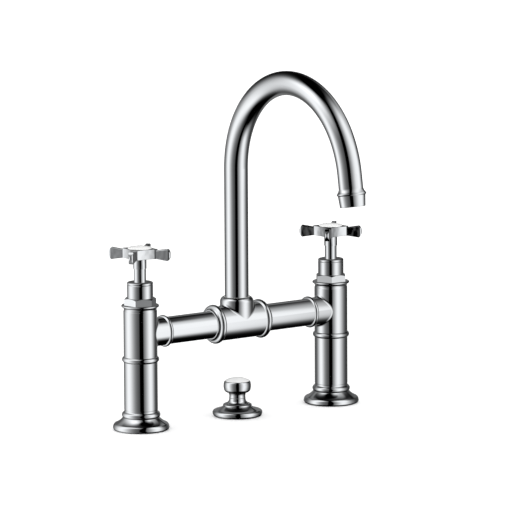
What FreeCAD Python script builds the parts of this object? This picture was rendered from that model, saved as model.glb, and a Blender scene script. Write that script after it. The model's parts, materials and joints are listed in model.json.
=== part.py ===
import FreeCAD, Part
import math
import os

# A bridge faucet for three deck holes: two pillars with quarter-turn cross handles, a bridge
# between them with a swivelling gooseneck spout, and a basin waste's pull knob below the spout.
# Millimetres and degrees. The origin is on the deck, midway between the pillars. +X points to
# the cold pillar, -Y to the user and +Z up.

# ---- Places of the main parts ----
PILLAR_SPACING = 203.2
BRIDGE_HEIGHT = 82.3
DECK_THICKNESS = 25.0
HOT_HANDLE_TURN = 38.0
COLD_HANDLE_TURN = 46.0
HOT_NUT_TURN = 38.8
COLD_NUT_TURN = -3.2

# ---- Clearances ----
SLIP = 0.05
SWING_GAP = 0.3
JOINT_LINE = 0.2

# ---- Foot flange ----
FOOT_R = 24.0
FOOT_BASE_R = 22.9
FOOT_RIM_WIDEST = 2.5
FOOT_RIM_HEIGHT = 5.2
FOOT_RIM_IN = 1.3
FOOT_HEIGHT = 10.6
GASKET_THICKNESS = 2.8
GASKET_IN = 14.0
GASKET_OUT = 20.6

# ---- Pillars ----
PILLAR_R = 14.4
FOOT_BEAD_SEAT = 1.1
FOOT_BEAD_RISE = 0.95
FOOT_BEAD_HEIGHT = 4.2
FOOT_BEAD_COVE = 2.6
BODY_BELOW_BRIDGE = 24.0
BODY_ABOVE_BRIDGE = 25.3
BODY_BEAD_RISE = 1.55
BODY_BEAD_HEIGHT = 4.6
LIP_R = 16.15
LIP_HEIGHT = 1.8
LIP_COVE = 3.6
PILLAR_SPIGOT_R = 12.0
PILLAR_SPIGOT_LENGTH = 7.5
PILLAR_WATERWAY_R = 6.2
CHAMFER = 0.6

# ---- Branches, bridge tubes and tee ----
BRANCH_R = 12.2
BRANCH_REACH = 26.0
BRANCH_BEAD_RISE = 1.5
BRANCH_BEAD_WIDTH = 3.6
BRANCH_FILLET = 2.5
TUBE_R = 11.8
TUBE_BORE_R = 7.8
TUBE_SPIGOT_R = 10.0
TUBE_SPIGOT_LENGTH = 9.0
TUBE_FLANGE_R = 13.0
TUBE_FLANGE_THICKNESS = 1.3
TEE_FACE = 25.0
TEE_R = 15.0
TEE_BODY_HALF = 21.4
TEE_THREAD_R = 13.6
TEE_FILLET = 3.0
NECK_R = 14.5
NECK_HEIGHT = 22.0
NECK_SHOULDER = 4.3
NECK_LIP = 0.8
COLLAR_R = 16.9
COLLAR_BEAD = 2.7
COLLAR_END = 29.0
COLLAR_END_R = 12.7

# ---- O-rings ----
SEAL_DEPTH = 1.3
SEAL_INSET = 3.4

# ---- Spout ----
SPOUT_R = 10.3
SPOUT_BORE_R = 8.8
SPOUT_ARCH_START = 216.1
SPOUT_ARCH_R = 81.05
SPOUT_ARCH_SWEEP = 171.0
SPOUT_END_RUN = 12.2
SWIVEL_R = 10.95
SWIVEL_BORE_R = 6.9
SWIVEL_LAND = 1.2
SWIVEL_SEAL_STEP = 2.8
SWIVEL_WAIST_R = 8.6
SWIVEL_FLOOR = 2.4
SWIVEL_STOP = 75.0
SWIVEL_WINDOW_R = 4.2
SWIVEL_NECK_LENGTH = 9.0
TUBE_SEAT_DROP = 3.8
GROOVE_DROP = 2.8
GROOVE_DEPTH = 1.6
LOCK_SCREW_R = 1.9
LOCK_TIP_R = 1.1
LOCK_KEY_FLATS = 2.0

# ---- Nozzle and aerator, measured along the outlet's axis ----
NOZZLE_CONE = 4.2
NOZZLE_CREST_R = 12.15
NOZZLE_STEP = 1.4
NOZZLE_TOP_R = 11.55
NOZZLE_LENGTH = 11.0
NOZZLE_MOUTH_R = 10.75
NOZZLE_BORE_R = 9.5
NOZZLE_WATERWAY_R = 7.0
NOZZLE_SPIGOT_LENGTH = 7.0
AERATOR_RECESS = 0.6
AERATOR_SEAL = 1.5
AERATOR_WALL = 1.2
SCREEN_THICKNESS = 0.6
SCREEN_HOLE_R = 0.85
SCREEN_RINGS = 3

# ---- Valve: cartridge, discs, nut and sleeve ----
CHAMBER_R = 10.6
BODY_THREAD_R = 11.9
SEAT_BELOW_BRIDGE = 13.3
SEAT_SEAL = 1.8
LEDGE_DEPTH = 9.6
CARTRIDGE_R = 8.9
CARTRIDGE_FLANGE = 2.5
CARTRIDGE_NECK_R = 8.4
DISC_R = 7.1
DISC_THICKNESS = 3.0
DISC_RIM = 1.4
DISC_WEB = 1.2
PORT_SWEEP = 86.0
WINDOW_WIDTH = 7.0
WINDOW_HEIGHT = 8.0
DRIVE_SLOT = 1.2
DRIVE_BLADE = 3.0
SPINDLE_COLLAR = 3.5
NUT_FLATS = 24.4
NUT_HEIGHT = 6.0
NUT_CORNER_DROP = 0.6
NUT_SPIGOT_R = 9.6
NUT_SPIGOT_LENGTH = 7.0
SLEEVE_R = 11.1
SLEEVE_HEIGHT = 13.6
SLEEVE_ROUND = 1.0
SLEEVE_LINE_DROP = 2.2
SLEEVE_LINE = 0.35
SLEEVE_ROOF = 2.8

# ---- Spindle and cross handle ----
SPINDLE_R = 5.2
STEM_SHOW = 11.6
DRIVE_R = 4.0
DRIVE_FLAT = 3.2
HANDLE_NECK_R = 5.7
HANDLE_NECK_LENGTH = 8.8
HUB_HEIGHT = 8.4
HUB_CORNER = 14.2
HUB_ARM_END = 15.2
HUB_SIDE_HOLLOW = 0.8
HUB_CORNER_FILLET = 1.8
HUB_WEB = 1.4
HUB_EDGE = 0.4
PADDLE_TIP = 27.4
PADDLE_HALF = 2.1
PADDLE_MIDDLE = 3.7
PADDLE_ROOT_HEIGHT = 7.3
PADDLE_END_HEIGHT = 10.4
PADDLE_NOSE = 2.6
PADDLE_EDGE = 0.9
SCREW_R = 2.0
SCREW_LENGTH = 9.0
SCREW_HEAD_R = 3.6
SCREW_HEAD_HEIGHT = 1.9
SCREW_HEX_FLATS = 2.5
CAP_R = 10.15
CAP_SPIGOT_R = 6.0
CAP_SPIGOT_WALL = 1.0
CAP_RIM = 0.8
CAP_DOME = 1.3

# ---- Shank and its fixing under the deck ----
SHANK_R = 10.4775
SHANK_BORE_R = 6.2
SHANK_GRIP = 16.0
SHANK_BELOW_DECK = 54.0
SHANK_RELIEF = 1.5
SHANK_RELIEF_DEPTH = 0.9
SUPPLY_THREAD = 15.4
WASHER_R = 19.0
WASHER_THICKNESS = 2.5
BACK_NUT_FLATS = 30.0
BACK_NUT_HEIGHT = 9.0

# ---- Basin waste knob ----
ROSETTE_R = 21.45
ROSETTE_BASE_R = 20.3
ROSETTE_RIM_WIDEST = 2.3
ROSETTE_RIM_TOP = 5.0
ROSETTE_RIM_TOP_R = 20.0
ROSETTE_COLLAR_R = 12.1
ROSETTE_COLLAR_LOW = 8.3
ROSETTE_COLLAR_HIGH = 9.9
ROSETTE_COLLAR_TOP_R = 11.0
ROSETTE_HEIGHT = 15.4
ROSETTE_HOLLOW = 3.0
KNOB_NECK_R = 7.1
KNOB_R = 11.65
KNOB_WAIST_HEIGHT = 4.7
KNOB_SIDE_LOW = 8.2
KNOB_SIDE_HIGH = 12.8
KNOB_RIM_HEIGHT = 14.5
KNOB_RIM_IN = 0.8
KNOB_DOME = 3.4
ROD_R = 2.5
ROD_GRIP = 9.0
ROD_BELOW_DECK = 58.0
ROD_END_R = 2.0
ROD_END = 14.0
GUIDE_R = 5.0
GUIDE_TOP_GAP = 3.0
GUIDE_BELOW_DECK = 38.0
GUIDE_WASHER_R = 13.0
GUIDE_WASHER_THICKNESS = 2.0
GUIDE_NUT_FLATS = 17.0
GUIDE_NUT_HEIGHT = 6.0

# ---- Heights and lengths that follow ----
QUARTER_ROUND = math.tan(math.pi / 8)
SEAM_Z = BRIDGE_HEIGHT - BODY_BELOW_BRIDGE
BODY_TOP = BRIDGE_HEIGHT + BODY_ABOVE_BRIDGE
SEAT_Z = BRIDGE_HEIGHT - SEAT_BELOW_BRIDGE
LEDGE_Z = BODY_TOP - LEDGE_DEPTH
CARTRIDGE_Z = SEAT_Z + SEAT_SEAL
DISCS_TOP = CARTRIDGE_Z + 2 * DISC_THICKNESS
WINDOW_TOP = DISCS_TOP + WINDOW_HEIGHT
COLLAR_TOP = WINDOW_TOP + SPINDLE_COLLAR
NUT_TOP = BODY_TOP + NUT_HEIGHT
NUT_SPIGOT_TOP = NUT_TOP + NUT_SPIGOT_LENGTH
SLEEVE_TOP = NUT_TOP + SLEEVE_HEIGHT
STEM_TOP = SLEEVE_TOP + STEM_SHOW
HUB_Z = STEM_TOP + HANDLE_NECK_LENGTH
HUB_TOP = HUB_Z + HUB_HEIGHT
HUB_FLOOR = HUB_TOP - (SCREW_HEAD_HEIGHT + HUB_WEB)
TUBE_LENGTH = PILLAR_SPACING / 2 - BRANCH_REACH - TEE_FACE
NECK_TOP = BRIDGE_HEIGHT + NECK_HEIGHT
TUBE_SEAT_Z = NECK_TOP - TUBE_SEAT_DROP
SWIVEL_FOOT = BRIDGE_HEIGHT - TUBE_BORE_R - SWIVEL_LAND
LOCK_Z = TUBE_SEAT_Z - GROOVE_DROP
SEAL_WIDTH = SEAL_DEPTH + SWING_GAP
KNOB_Z = ROSETTE_HEIGHT + JOINT_LINE
UP = FreeCAD.Vector(0, 0, 1)
CENTRE = FreeCAD.Vector(0, 0, 0)


# ---- Small helpers for shapes ----

def outline_face(outline):
    """Face in the XZ plane from (x, z) points; a third number bulges the run that ends there.

    The outline is walked with its inside on the left. A bulge is the arc's rise over half its
    chord, positive outwards and negative inwards.
    """
    corners = [FreeCAD.Vector(point[0], 0, point[1]) for point in outline]
    edges = []
    for index, point in enumerate(outline):
        start = corners[index - 1]
        end = corners[index]
        half = (end - start) * 0.5
        if len(point) == 3:
            middle = start + half + FreeCAD.Vector(half.z, 0, -half.x) * point[2]
            edges.append(Part.Arc(start, middle, end).toShape())
        else:
            edges.append(Part.LineSegment(start, end).toShape())
    return Part.Face(Part.Wire(edges))


def tangent_bulge(aside, along):
    """Bulge of a run that is straight along at one end and has moved this far aside at the other."""
    return math.tan(math.atan(aside / along) / 2)


def turned(outline):
    """Solid turned about Z from an outline of (radius, height) points."""
    solid = outline_face(outline).revolve(CENTRE, UP, 360)
    if solid.Volume < 0:
        solid.reverse()
    return solid


def ring(inner, outer, low, high):
    """Plain ring between two heights."""
    return turned([(inner, low), (outer, low), (outer, high), (inner, high)])


def rod(radius, low, high):
    """Plain round bar along Z."""
    return Part.makeCylinder(radius, high - low, FreeCAD.Vector(0, 0, low))


def block(width, depth, low, high):
    """Box centred on the Z axis between two heights."""
    corner = FreeCAD.Vector(-width / 2, -depth / 2, low)
    return Part.makeBox(width, depth, high - low, corner)


def hex_prism(flats, low, high):
    """Hexagonal bar along Z with a corner on +X."""
    corner_r = flats / math.sqrt(3)
    corners = []
    for index in range(7):
        angle = math.radians(60 * index)
        corners.append(FreeCAD.Vector(corner_r * math.cos(angle), corner_r * math.sin(angle), low))
    return Part.Face(Part.makePolygon(corners)).extrude(UP * (high - low))


def chamfered_hex(flats, low, high, both_ends=False):
    """Hexagonal nut blank with its corners turned off at the top, or at both ends."""
    corner_r = flats / math.sqrt(3)
    edge_r = flats / 2
    drop = (corner_r - edge_r) * NUT_CORNER_DROP
    bottom_r = edge_r if both_ends else corner_r
    envelope = [(0, low), (bottom_r, low)]
    if both_ends:
        envelope.append((corner_r, low + drop))
    envelope += [(corner_r, high - drop), (edge_r, high), (0, high)]
    return hex_prism(flats, low, high).common(turned(envelope))


def o_ring(floor_r, bore_r, height):
    """O-ring that fills the space between a groove's floor and a bore."""
    section_r = (bore_r - floor_r) / 2 - SLIP / 2
    return Part.makeTorus((bore_r + floor_r) / 2, section_r, FreeCAD.Vector(0, 0, height))


def spun(shape, angle):
    """Copy turned about the Z axis."""
    copy = shape.copy()
    copy.rotate(CENTRE, UP, angle)
    return copy


def along_x(shape, side, start):
    """Lay a shape made along Z on the bridge's axis, pointing outwards from X = start."""
    copy = shape.copy()
    copy.rotate(CENTRE, FreeCAD.Vector(0, 1, 0), 90)
    copy.translate(FreeCAD.Vector(start, 0, BRIDGE_HEIGHT))
    return copy if side > 0 else spun(copy, 180)


def on_pillar(shape, side):
    """Stand a shape made about Z, with its branch towards +X, on the hot or cold pillar."""
    copy = shape.copy() if side < 0 else spun(shape, 180)
    copy.translate(FreeCAD.Vector(side * PILLAR_SPACING / 2, 0, 0))
    return copy


def at_outlet(shape):
    """Move a shape made along Z to the outlet, with Z pointing out of the mouth."""
    lean = math.radians(180 - SPOUT_ARCH_SWEEP)
    outwards = FreeCAD.Vector(0, -math.sin(lean), -math.cos(lean))
    crest = arch_end() + outwards * (SPOUT_END_RUN + NOZZLE_CONE)
    copy = shape.copy()
    copy.Placement = FreeCAD.Placement(crest, FreeCAD.Rotation(UP, outwards))
    return copy


def arch_end():
    """Point where the spout's arch ends and its straight end run begins."""
    lean = math.radians(180 - SPOUT_ARCH_SWEEP)
    y = -SPOUT_ARCH_R * (1 + math.cos(lean))
    z = SPOUT_ARCH_START + SPOUT_ARCH_R * math.sin(lean)
    return FreeCAD.Vector(0, y, z)


def crossing_edges(shape):
    """Edges where two round bodies run into each other."""
    return [edge for edge in shape.Edges if edge.Curve.TypeId == "Part::GeomBSplineCurve"]


# ---- Foot and lower pillar ----

def foot_flange():
    neck_r = PILLAR_R + FOOT_BEAD_SEAT
    return turned([
        (SHANK_R + SWING_GAP, 0),
        (GASKET_IN - SLIP, 0),
        (GASKET_IN - SLIP, GASKET_THICKNESS + SLIP),
        (GASKET_OUT + SLIP, GASKET_THICKNESS + SLIP),
        (GASKET_OUT + SLIP, 0),
        (FOOT_BASE_R, 0),
        (FOOT_R, FOOT_RIM_WIDEST, QUARTER_ROUND),
        (FOOT_R - FOOT_RIM_IN, FOOT_RIM_HEIGHT, QUARTER_ROUND / 2),
        (neck_r, FOOT_HEIGHT, -QUARTER_ROUND / 3),
        (SHANK_R + SWING_GAP, FOOT_HEIGHT),
    ])


def deck_gasket():
    return ring(GASKET_IN, GASKET_OUT, 0, GASKET_THICKNESS)


def lower_pillar():
    seat_r = PILLAR_R + FOOT_BEAD_SEAT
    bead_top = FOOT_HEIGHT + FOOT_BEAD_HEIGHT
    spigot_top = SEAM_Z + PILLAR_SPIGOT_LENGTH
    socket_top = FOOT_HEIGHT + SHANK_GRIP + SLIP
    return turned([
        (SHANK_R + SLIP, FOOT_HEIGHT),
        (seat_r, FOOT_HEIGHT),
        (seat_r, bead_top, 2 * FOOT_BEAD_RISE / FOOT_BEAD_HEIGHT),
        (PILLAR_R, bead_top + FOOT_BEAD_COVE, -QUARTER_ROUND),
        (PILLAR_R, SEAM_Z),
        (PILLAR_SPIGOT_R, SEAM_Z),
        (PILLAR_SPIGOT_R, spigot_top - CHAMFER),
        (PILLAR_SPIGOT_R - CHAMFER, spigot_top),
        (PILLAR_WATERWAY_R, spigot_top),
        (PILLAR_WATERWAY_R, socket_top),
        (SHANK_R + SLIP, socket_top),
    ])


# ---- Valve body: upper pillar with its branch ----

def valve_body():
    bead_top = SEAM_Z + BODY_BEAD_HEIGHT
    lip_low = BODY_TOP - LIP_HEIGHT
    lip_seat_r = LIP_R - LIP_HEIGHT / 2
    column = turned([
        (0, SEAM_Z),
        (PILLAR_R, SEAM_Z),
        (PILLAR_R, bead_top, 2 * BODY_BEAD_RISE / BODY_BEAD_HEIGHT),
        (PILLAR_R, lip_low - LIP_COVE),
        (lip_seat_r, lip_low, -QUARTER_ROUND),
        (lip_seat_r, BODY_TOP, 1),
        (0, BODY_TOP),
    ])
    bead_low = BRANCH_REACH - BRANCH_BEAD_WIDTH
    branch = turned([
        (0, 0),
        (BRANCH_R, 0),
        (BRANCH_R, bead_low),
        (BRANCH_R, BRANCH_REACH, 2 * BRANCH_BEAD_RISE / BRANCH_BEAD_WIDTH),
        (0, BRANCH_REACH),
    ])
    outside = spun(column, 180).fuse(along_x(branch, 1, 0))
    outside = outside.makeFillet(BRANCH_FILLET, crossing_edges(outside))
    socket_r = PILLAR_SPIGOT_R + SLIP
    socket_top = SEAM_Z + PILLAR_SPIGOT_LENGTH + SLIP
    inside = turned([
        (0, SEAM_Z),
        (socket_r, SEAM_Z),
        (socket_r, socket_top),
        (PILLAR_WATERWAY_R, socket_top),
        (PILLAR_WATERWAY_R, SEAT_Z),
        (CHAMBER_R, SEAT_Z),
        (CHAMBER_R, LEDGE_Z),
        (BODY_THREAD_R, LEDGE_Z),
        (BODY_THREAD_R, BODY_TOP),
        (0, BODY_TOP),
    ])
    spigot_r = TUBE_SPIGOT_R + SLIP
    spigot_low = BRANCH_REACH - TUBE_SPIGOT_LENGTH - SLIP
    branch_bore = turned([
        (0, 0),
        (TUBE_BORE_R, 0),
        (TUBE_BORE_R, spigot_low),
        (spigot_r, spigot_low),
        (spigot_r, BRANCH_REACH),
        (0, BRANCH_REACH),
    ])
    return outside.cut(inside.fuse(along_x(branch_bore, 1, 0)))


# ---- Cartridge with its ceramic discs ----

def seat_seal():
    return ring(PILLAR_WATERWAY_R, CARTRIDGE_R, SEAT_Z, CARTRIDGE_Z)


def cartridge_body():
    shell = turned([
        (DISC_R + SLIP, CARTRIDGE_Z),
        (CARTRIDGE_R, CARTRIDGE_Z),
        (CARTRIDGE_R, LEDGE_Z),
        (BODY_THREAD_R - SWING_GAP, LEDGE_Z),
        (BODY_THREAD_R - SWING_GAP, LEDGE_Z + CARTRIDGE_FLANGE),
        (CARTRIDGE_NECK_R, LEDGE_Z + CARTRIDGE_FLANGE),
        (CARTRIDGE_NECK_R, NUT_SPIGOT_TOP),
        (SPINDLE_R + SLIP, NUT_SPIGOT_TOP),
        (SPINDLE_R + SLIP, COLLAR_TOP + SLIP),
        (DISC_R + SLIP, COLLAR_TOP + SLIP),
    ])
    window = block(2 * CHAMBER_R, WINDOW_WIDTH, DISCS_TOP, WINDOW_TOP)
    return shell.cut(window)


def fixed_disc():
    disc = rod(DISC_R, CARTRIDGE_Z, CARTRIDGE_Z + DISC_THICKNESS)
    return disc.cut(disc_ports(CARTRIDGE_Z, CARTRIDGE_Z + DISC_THICKNESS))


def moving_disc():
    low = CARTRIDGE_Z + DISC_THICKNESS
    disc = rod(DISC_R, low, DISCS_TOP)
    disc = disc.cut(spun(disc_ports(low, DISCS_TOP), 90))
    slot = block(DRIVE_BLADE + 2 * SLIP, 3 * DISC_R, DISCS_TOP - DRIVE_SLOT, DISCS_TOP)
    return disc.cut(slot)


def disc_ports(low, high):
    """Two quarter-circle water ports, opposite each other on the X axis."""
    port_r = DISC_R - DISC_RIM
    quarter = Part.makeCylinder(port_r, high - low, FreeCAD.Vector(0, 0, low), UP, PORT_SWEEP)
    hub = rod(DISC_WEB + DISC_RIM, low, high)
    port = spun(quarter, -PORT_SWEEP / 2).cut(hub)
    return port.fuse(spun(port, 180))


def bonnet_nut():
    blank = chamfered_hex(NUT_FLATS, BODY_TOP, NUT_TOP)
    skirt = rod(BODY_THREAD_R - SLIP, LEDGE_Z + CARTRIDGE_FLANGE, BODY_TOP)
    spigot = rod(NUT_SPIGOT_R, NUT_TOP, NUT_SPIGOT_TOP)
    bore = rod(CARTRIDGE_NECK_R + SLIP, LEDGE_Z, NUT_SPIGOT_TOP)
    return skirt.fuse(blank).fuse(spigot).cut(bore).removeSplitter()


def bonnet_sleeve():
    line_z = SLEEVE_TOP - SLEEVE_LINE_DROP
    bore_r = NUT_SPIGOT_R + SLIP
    return turned([
        (bore_r, NUT_TOP),
        (SLEEVE_R, NUT_TOP),
        (SLEEVE_R, line_z - SLEEVE_LINE),
        (SLEEVE_R - SLEEVE_LINE, line_z),
        (SLEEVE_R, line_z + SLEEVE_LINE),
        (SLEEVE_R, SLEEVE_TOP - SLEEVE_ROUND),
        (SLEEVE_R - SLEEVE_ROUND, SLEEVE_TOP, QUARTER_ROUND),
        (SPINDLE_R + SWING_GAP, SLEEVE_TOP),
        (SPINDLE_R + SWING_GAP, SLEEVE_TOP - SLEEVE_ROOF),
        (bore_r, SLEEVE_TOP - SLEEVE_ROOF),
    ])


def body_o_ring():
    """Seal under the cartridge's flange, round its barrel."""
    return ring(CARTRIDGE_R + SLIP, CHAMBER_R - SLIP, LEDGE_Z - SEAT_SEAL, LEDGE_Z)


# ---- Spindle and cross handle: the pieces that turn ----

def spindle_seal_heights():
    middle = (COLLAR_TOP + NUT_SPIGOT_TOP) / 2
    return [middle, middle + 2 * SEAL_INSET]


def spindle():
    outline = [(0, WINDOW_TOP), (DISC_R, WINDOW_TOP), (DISC_R, COLLAR_TOP), (SPINDLE_R, COLLAR_TOP)]
    outline += grooves(SPINDLE_R, spindle_seal_heights())
    outline += [(SPINDLE_R, STEM_TOP), (0, STEM_TOP)]
    shaft = turned(outline)
    blade = block(DRIVE_BLADE, 2 * DISC_R, DISCS_TOP - DRIVE_SLOT, WINDOW_TOP)
    blade = blade.common(rod(DISC_R, DISCS_TOP - DRIVE_SLOT, WINDOW_TOP))
    drive = rod(DRIVE_R, STEM_TOP, HUB_FLOOR - HUB_WEB).common(
        block(2 * DRIVE_FLAT, 2 * DRIVE_R, STEM_TOP, HUB_FLOOR - HUB_WEB))
    screw_hole = rod(SCREW_R + SLIP, HUB_FLOOR - SCREW_LENGTH - SLIP, HUB_FLOOR)
    return shaft.fuse(blade).fuse(drive).cut(screw_hole).removeSplitter()


def grooves(outer_r, heights):
    """Outline points of O-ring grooves in a round bar, from the lowest up."""
    points = []
    for height in heights:
        low = height - SEAL_WIDTH / 2
        high = height + SEAL_WIDTH / 2
        floor_r = outer_r - SEAL_DEPTH
        points += [(outer_r, low), (floor_r, low), (floor_r, high), (outer_r, high)]
    return points


def spindle_o_rings():
    rings = []
    for height in spindle_seal_heights():
        rings.append(o_ring(SPINDLE_R - SEAL_DEPTH, SPINDLE_R, height))
    return Part.makeCompound(rings)


def hub_star():
    """Square hub, its sides a little hollow, with a short stub at each corner for an arm."""
    waist = (HUB_CORNER + PADDLE_HALF) / 2 - HUB_SIDE_HOLLOW / math.sqrt(2)
    middle = FreeCAD.Vector(waist, waist, HUB_Z)
    before = FreeCAD.Vector(HUB_CORNER, PADDLE_HALF, HUB_Z)
    after = FreeCAD.Vector(PADDLE_HALF, HUB_CORNER, HUB_Z)
    stub_end = FreeCAD.Vector(PADDLE_HALF, HUB_ARM_END, HUB_Z)
    next_stub = FreeCAD.Vector(-PADDLE_HALF, HUB_ARM_END, HUB_Z)
    next_before = FreeCAD.Vector(-PADDLE_HALF, HUB_CORNER, HUB_Z)
    quarter = [
        Part.Arc(before, middle, after).toShape(),
        Part.LineSegment(after, stub_end).toShape(),
        Part.LineSegment(stub_end, next_stub).toShape(),
        Part.LineSegment(next_stub, next_before).toShape(),
    ]
    edges = []
    for index in range(4):
        edges += [spun(edge, 90 * index) for edge in quarter]
    star = Part.Face(Part.Wire(edges)).extrude(UP * HUB_HEIGHT)
    corner_r = math.hypot(HUB_CORNER, PADDLE_HALF)
    corners = []
    for edge in star.Edges:
        foot = edge.Vertexes[0].Point
        upright = edge.BoundBox.ZLength > HUB_HEIGHT / 2
        if upright and math.hypot(foot.x, foot.y) < corner_r + HUB_EDGE:
            corners.append(edge)
    star = star.makeFillet(HUB_CORNER_FILLET, corners)
    rims = [edge for edge in star.Edges if edge.BoundBox.ZLength < HUB_EDGE]
    return star.makeFillet(HUB_EDGE, rims)


def paddle():
    """One flat arm along +X: taller towards its rounded end."""
    root = HUB_ARM_END - HUB_EDGE - JOINT_LINE
    shoulder = PADDLE_TIP - PADDLE_NOSE
    middle_z = HUB_Z + PADDLE_MIDDLE
    half_root = PADDLE_ROOT_HEIGHT / 2
    half_end = PADDLE_END_HEIGHT / 2
    side_view = outline_face([
        (root, middle_z - half_root),
        (shoulder, middle_z - half_end),
        (shoulder, middle_z + half_end, PADDLE_NOSE / half_end),
        (root, middle_z + half_root),
    ])
    side_view.translate(FreeCAD.Vector(0, -PADDLE_HALF, 0))
    blade = side_view.extrude(FreeCAD.Vector(0, 2 * PADDLE_HALF, 0))
    long_edges = []
    for edge in blade.Edges:
        runs_out = edge.BoundBox.XLength > PADDLE_TIP - PADDLE_NOSE - HUB_ARM_END
        if runs_out:
            long_edges.append(edge)
    blade = blade.makeFillet(PADDLE_EDGE, long_edges)
    nose_x = PADDLE_TIP - PADDLE_HALF
    plan = outline_face([
        (root, -PADDLE_HALF),
        (nose_x, -PADDLE_HALF),
        (nose_x, PADDLE_HALF, 1),
        (root, PADDLE_HALF),
    ])
    plan.rotate(CENTRE, FreeCAD.Vector(1, 0, 0), 90)
    plan.translate(FreeCAD.Vector(0, 0, middle_z - PADDLE_END_HEIGHT))
    return blade.common(plan.extrude(UP * 2 * PADDLE_END_HEIGHT))


def cross_handle():
    handle = hub_star().fuse(rod(HANDLE_NECK_R, STEM_TOP, HUB_TOP - HUB_EDGE))
    arm = paddle()
    for index in range(4):
        handle = handle.fuse(spun(arm, 90 * index))
    socket_top = HUB_FLOOR - HUB_WEB + SLIP
    socket = rod(DRIVE_R + SLIP, STEM_TOP, socket_top).common(
        block(2 * (DRIVE_FLAT + SLIP), 3 * DRIVE_R, STEM_TOP, socket_top))
    recess = rod(CAP_SPIGOT_R + SLIP, HUB_FLOOR, HUB_TOP)
    screw_hole = rod(SCREW_R + SLIP, STEM_TOP, HUB_TOP)
    return handle.cut(socket.fuse(recess).fuse(screw_hole)).removeSplitter()


def handle_screw():
    head = turned([
        (0, HUB_FLOOR),
        (SCREW_HEAD_R, HUB_FLOOR),
        (SCREW_HEAD_R, HUB_FLOOR + SCREW_HEAD_HEIGHT - CHAMFER),
        (SCREW_HEAD_R - CHAMFER, HUB_FLOOR + SCREW_HEAD_HEIGHT),
        (0, HUB_FLOOR + SCREW_HEAD_HEIGHT),
    ])
    key = hex_prism(SCREW_HEX_FLATS, HUB_FLOOR + CHAMFER, HUB_TOP)
    return head.fuse(rod(SCREW_R, HUB_FLOOR - SCREW_LENGTH, HUB_FLOOR)).cut(key).removeSplitter()


def index_cap():
    rim_top = HUB_TOP + CAP_RIM
    wall_r = CAP_SPIGOT_R - CAP_SPIGOT_WALL
    spigot_low = HUB_FLOOR + SLIP
    return turned([
        (0, HUB_TOP),
        (wall_r, HUB_TOP),
        (wall_r, spigot_low),
        (CAP_SPIGOT_R, spigot_low),
        (CAP_SPIGOT_R, HUB_TOP),
        (CAP_R, HUB_TOP),
        (CAP_R, rim_top, QUARTER_ROUND / 2),
        (0, rim_top + CAP_DOME, tangent_bulge(CAP_DOME, CAP_R)),
    ])


# ---- Shank and its fixing under the deck ----

def shank():
    """Threaded shank; a relief groove parts the back nut's thread from the supply's."""
    top = FOOT_HEIGHT + SHANK_GRIP
    supply_top = CHAMFER - SHANK_BELOW_DECK + SUPPLY_THREAD
    relief_r = SHANK_R - SHANK_RELIEF_DEPTH
    return turned([
        (SHANK_BORE_R, -SHANK_BELOW_DECK),
        (SHANK_R - CHAMFER, -SHANK_BELOW_DECK),
        (SHANK_R, CHAMFER - SHANK_BELOW_DECK),
        (SHANK_R, supply_top),
        (relief_r, supply_top),
        (relief_r, supply_top + SHANK_RELIEF),
        (SHANK_R, supply_top + SHANK_RELIEF),
        (SHANK_R, top - CHAMFER),
        (SHANK_R - CHAMFER, top),
        (SHANK_BORE_R, top),
    ])


def clamp_washer():
    return ring(SHANK_R + SLIP, WASHER_R, -DECK_THICKNESS - WASHER_THICKNESS, -DECK_THICKNESS)


def back_nut():
    top = -DECK_THICKNESS - WASHER_THICKNESS
    blank = chamfered_hex(BACK_NUT_FLATS, top - BACK_NUT_HEIGHT, top, both_ends=True)
    return blank.cut(rod(SHANK_R + SLIP, top - BACK_NUT_HEIGHT, top))


# ---- Bridge: tubes, collars and tee ----

def bridge_tube():
    """Tube made along Z from the tee's face outwards, with a spigot at each end."""
    length = TUBE_LENGTH
    outline = [
        (TUBE_BORE_R, -TUBE_SPIGOT_LENGTH),
        (TUBE_SPIGOT_R - CHAMFER, -TUBE_SPIGOT_LENGTH),
        (TUBE_SPIGOT_R, CHAMFER - TUBE_SPIGOT_LENGTH),
    ]
    outline += grooves(TUBE_SPIGOT_R, [bridge_seal_places()[0]])
    outline += [
        (TUBE_SPIGOT_R, 0),
        (TUBE_FLANGE_R, 0),
        (TUBE_FLANGE_R, TUBE_FLANGE_THICKNESS),
        (TUBE_R, TUBE_FLANGE_THICKNESS),
        (TUBE_R, length),
        (TUBE_SPIGOT_R, length),
    ]
    outline += grooves(TUBE_SPIGOT_R, [bridge_seal_places()[1]])
    outline += [
        (TUBE_SPIGOT_R, length + TUBE_SPIGOT_LENGTH - CHAMFER),
        (TUBE_SPIGOT_R - CHAMFER, length + TUBE_SPIGOT_LENGTH),
        (TUBE_BORE_R, length + TUBE_SPIGOT_LENGTH),
    ]
    return turned(outline)


def bridge_seal_places():
    return [-SEAL_INSET, TUBE_LENGTH + SEAL_INSET]


def bridge_o_rings():
    rings = []
    for place in bridge_seal_places():
        rings.append(o_ring(TUBE_SPIGOT_R - SEAL_DEPTH, TUBE_SPIGOT_R + SLIP, place))
    return Part.makeCompound(rings)


def union_collar():
    """Ringed nut made along Z from the tee's middle outwards."""
    crest_low = TEE_BODY_HALF
    crest_high = TEE_BODY_HALF + 2 * COLLAR_BEAD
    bead_seat_r = COLLAR_R - COLLAR_BEAD
    flange_seat = TEE_FACE + TUBE_FLANGE_THICKNESS + SLIP
    return turned([
        (TEE_THREAD_R + SLIP, crest_low),
        (bead_seat_r, crest_low),
        (bead_seat_r, crest_high, 1),
        (COLLAR_END_R, COLLAR_END, -QUARTER_ROUND / 2),
        (TUBE_R + SLIP, COLLAR_END),
        (TUBE_R + SLIP, flange_seat),
        (TEE_THREAD_R + SLIP, flange_seat),
    ])


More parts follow.
